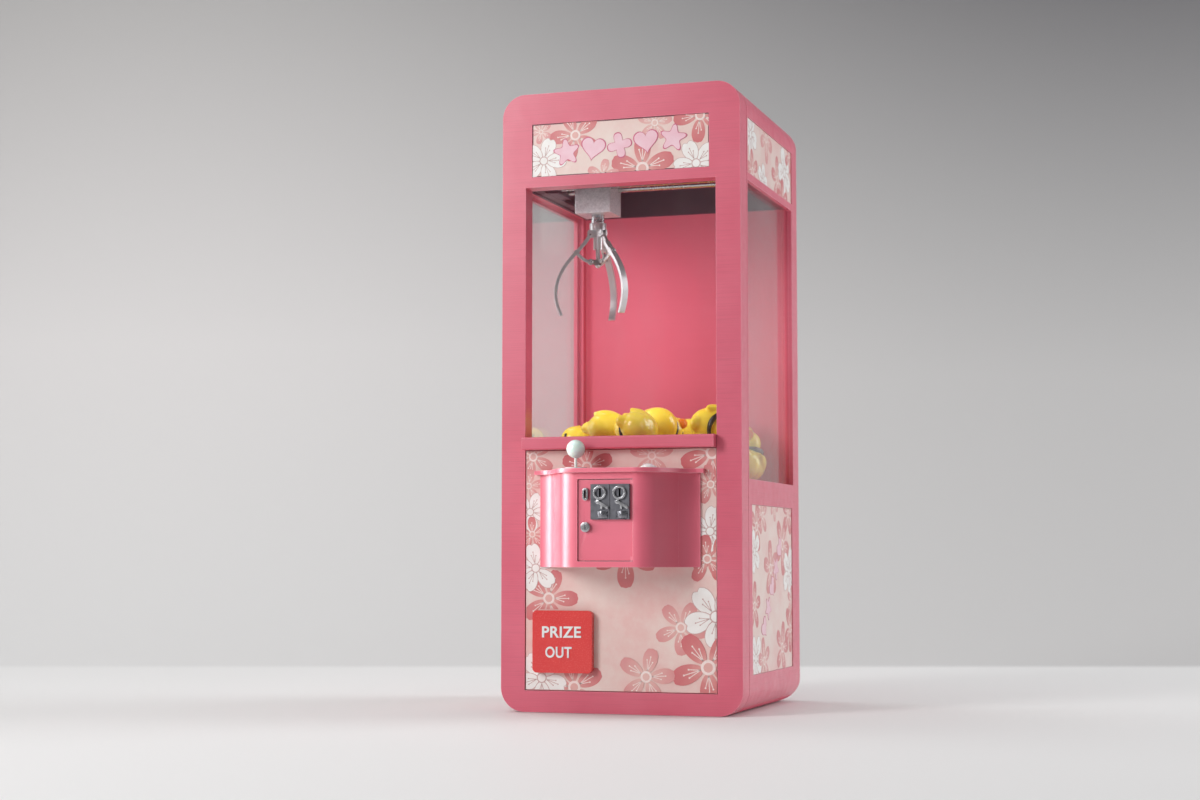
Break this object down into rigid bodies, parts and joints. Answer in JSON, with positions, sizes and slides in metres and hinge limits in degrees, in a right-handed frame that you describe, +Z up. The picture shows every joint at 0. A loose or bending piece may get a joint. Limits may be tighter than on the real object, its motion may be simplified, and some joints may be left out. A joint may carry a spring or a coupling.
{
  "type": "claw crane machine model",
  "caption": "Small-scale claw crane machine with a glazed cabinet, an overhead crane and claw, a control box, a coin door, a prize door and toy ducks.",
  "frame": {"origin": "on the floor, under the middle of the cabinet's footprint", "axes": "+Z up; the front faces -Y; +X is to the right of a player who faces the front"},
  "size_m": [0.065, 0.0788, 0.1625],
  "materials": {
    "body_pink": "satin",
    "panel_pink": "satin",
    "deck_pink": "satin",
    "glass": "clear",
    "print_sheet": "glossy print",
    "dark_housing": "matt",
    "steel": "polished",
    "cast_silver": "silver cast",
    "chrome": "bright",
    "white_plastic": "glossy",
    "grey_metal": "satin",
    "red_plastic": "glossy",
    "duck_yellow": "glossy"
  },
  "bodies": {
    "cabinet": {"cabinet_shell": "body_pink", "front_bezel": "body_pink", "front_glass": "glass", "side_glass_left": "glass", "side_glass_right": "glass", "header_print": "print_sheet", "side_header_prints": "print_sheet", "side_lower_prints": "print_sheet", "lower_front_panel": "body_pink", "lower_front_print": "print_sheet", "window_ledge": "body_pink", "play_deck": "deck_pink", "prize_chute": "deck_pink", "chute_guard": "glass", "rear_cover": "body_pink", "rear_cover_screws": "steel", "gantry_housing": "dark_housing", "gantry_rails": "dark_housing", "control_box": "body_pink", "control_top": "panel_pink", "joystick_base": "white_plastic", "joystick_bracket": "dark_housing", "button_bezel": "white_plastic", "button_switch": "dark_housing", "cash_box": "grey_metal", "prize_ducks_lower": "duck_yellow", "prize_ducks_upper": "duck_yellow"},
    "beam": {"gantry_trucks": "dark_housing", "cross_rods": "steel"},
    "carriage": {"carriage_block": "cast_silver", "hoist_sleeve": "steel"},
    "hoist": {"hoist_rod": "steel", "claw_head": "chrome", "finger_pins": "steel"},
    "plunger": {"claw_plunger": "chrome", "hub_pins": "steel"},
    "finger_1": {"claw_finger_1": "chrome"},
    "finger_2": {"claw_finger_2": "chrome"},
    "finger_3": {"claw_finger_3": "chrome"},
    "link_1": {"finger_link_1": "chrome"},
    "link_2": {"finger_link_2": "chrome"},
    "link_3": {"finger_link_3": "chrome"},
    "stick_gimbal": {"joystick_gimbal": "dark_housing"},
    "stick": {"joystick_shaft": "steel", "joystick_ball": "white_plastic"},
    "button": {"button_cap": "white_plastic"},
    "coin_door": {"coin_door": "body_pink", "coin_door_pins": "steel", "coin_plates": "grey_metal", "coin_slot_rings": "steel", "return_cups": "steel", "token_slot": "steel"},
    "reject_left": {"reject_lever_left": "steel"},
    "reject_right": {"reject_lever_right": "steel"},
    "lock": {"door_lock": "steel", "lock_cam": "grey_metal"},
    "prize_door": {"prize_door": "red_plastic", "prize_door_pin": "steel"}
  },
  "joints": [
    {"name": "beam_slide", "type": "slide", "parent": "cabinet", "child": "beam", "axis": [0, 1, 0], "range_m": [-0.005, 0.023]},
    {"name": "carriage_slide", "type": "slide", "parent": "beam", "child": "carriage", "axis": [1, 0, 0], "range_m": [-0.003, 0.031]},
    {"name": "hoist_drop", "type": "slide", "parent": "carriage", "child": "hoist", "axis": [0, 0, -1], "range_m": [0, 0.021]},
    {"name": "claw_close", "type": "hinge", "parent": "hoist", "child": "finger_1", "pos_m": [-0.01395, -0.00521, 0.128], "axis": [-0.9976, 0.0698, 0], "range_deg": [-2, 21.5]},
    {"name": "finger_2_close", "type": "hinge", "parent": "hoist", "child": "finger_2", "pos_m": [-0.01608, -0.00836, 0.128], "axis": [0.4384, -0.8988, 0], "range_deg": [-2.1, 21.6]},
    {"name": "finger_3_close", "type": "hinge", "parent": "hoist", "child": "finger_3", "pos_m": [-0.01228, -0.00863, 0.128], "axis": [0.5592, 0.829, 0], "range_deg": [-2.1, 21.6]},
    {"name": "plunger_slide", "type": "slide", "parent": "hoist", "child": "plunger", "axis": [0, 0, -1], "range_m": [-0.0003, 0.0031]},
    {"name": "link_1_turn", "type": "hinge", "parent": "finger_1", "child": "link_1", "pos_m": [-0.01368, -0.00141, 0.1231], "axis": [-0.9976, 0.0698, 0], "range_deg": [-56, 6]},
    {"name": "link_2_turn", "type": "hinge", "parent": "finger_2", "child": "link_2", "pos_m": [-0.01949, -0.01003, 0.1231], "axis": [0.4384, -0.8988, 0], "range_deg": [-56, 6]},
    {"name": "link_3_turn", "type": "hinge", "parent": "finger_3", "child": "link_3", "pos_m": [-0.00913, -0.01076, 0.1231], "axis": [0.5592, 0.829, 0], "range_deg": [-56, 6]},
    {"name": "stick_front_back", "type": "hinge", "parent": "cabinet", "child": "stick_gimbal", "pos_m": [-0.0097, -0.039, 0.0604], "axis": [1, 0, 0], "range_deg": [-7, 7]},
    {"name": "stick_left_right", "type": "hinge", "parent": "stick_gimbal", "child": "stick", "pos_m": [-0.0097, -0.039, 0.0604], "axis": [0, 1, 0], "range_deg": [-7, 7]},
    {"name": "button_press", "type": "slide", "parent": "cabinet", "child": "button", "axis": [0, 0, -1], "range_m": [0, 0.0006]},
    {"name": "coin_door_hinge", "type": "hinge", "parent": "cabinet", "child": "coin_door", "pos_m": [0.0069, -0.04435, 0.049], "axis": [0, 0, 1], "range_deg": [0, 46]},
    {"name": "lock_turn", "type": "hinge", "parent": "coin_door", "child": "lock", "pos_m": [-0.00505, -0.0446, 0.0476], "axis": [0, 1, 0], "range_deg": [0, 90]},
    {"name": "reject_left_press", "type": "hinge", "parent": "coin_door", "child": "reject_left", "pos_m": [-0.0015, -0.0454, 0.0539], "axis": [0, -1, 0], "range_deg": [0, 20]},
    {"name": "reject_right_press", "type": "hinge", "parent": "coin_door", "child": "reject_right", "pos_m": [0.0037, -0.0454, 0.0539], "axis": [0, -1, 0], "range_deg": [0, 20]},
    {"name": "prize_door_hinge", "type": "hinge", "parent": "cabinet", "child": "prize_door", "pos_m": [-0.0151, -0.0331, 0.0254], "axis": [-1, 0, 0], "range_deg": [0, 80]}
  ],
  "couplings": [
    {"joint": "finger_2_close", "follows": "claw_close", "ratio": 1},
    {"joint": "finger_3_close", "follows": "claw_close", "ratio": 1},
    {"joint": "plunger_slide", "follows": "claw_close", "m_per_rad": 0.0081018},
    {"joint": "link_1_turn", "follows": "claw_close", "ratio": -2.5761},
    {"joint": "link_2_turn", "follows": "claw_close", "ratio": -2.5761},
    {"joint": "link_3_turn", "follows": "claw_close", "ratio": -2.5761}
  ]
}
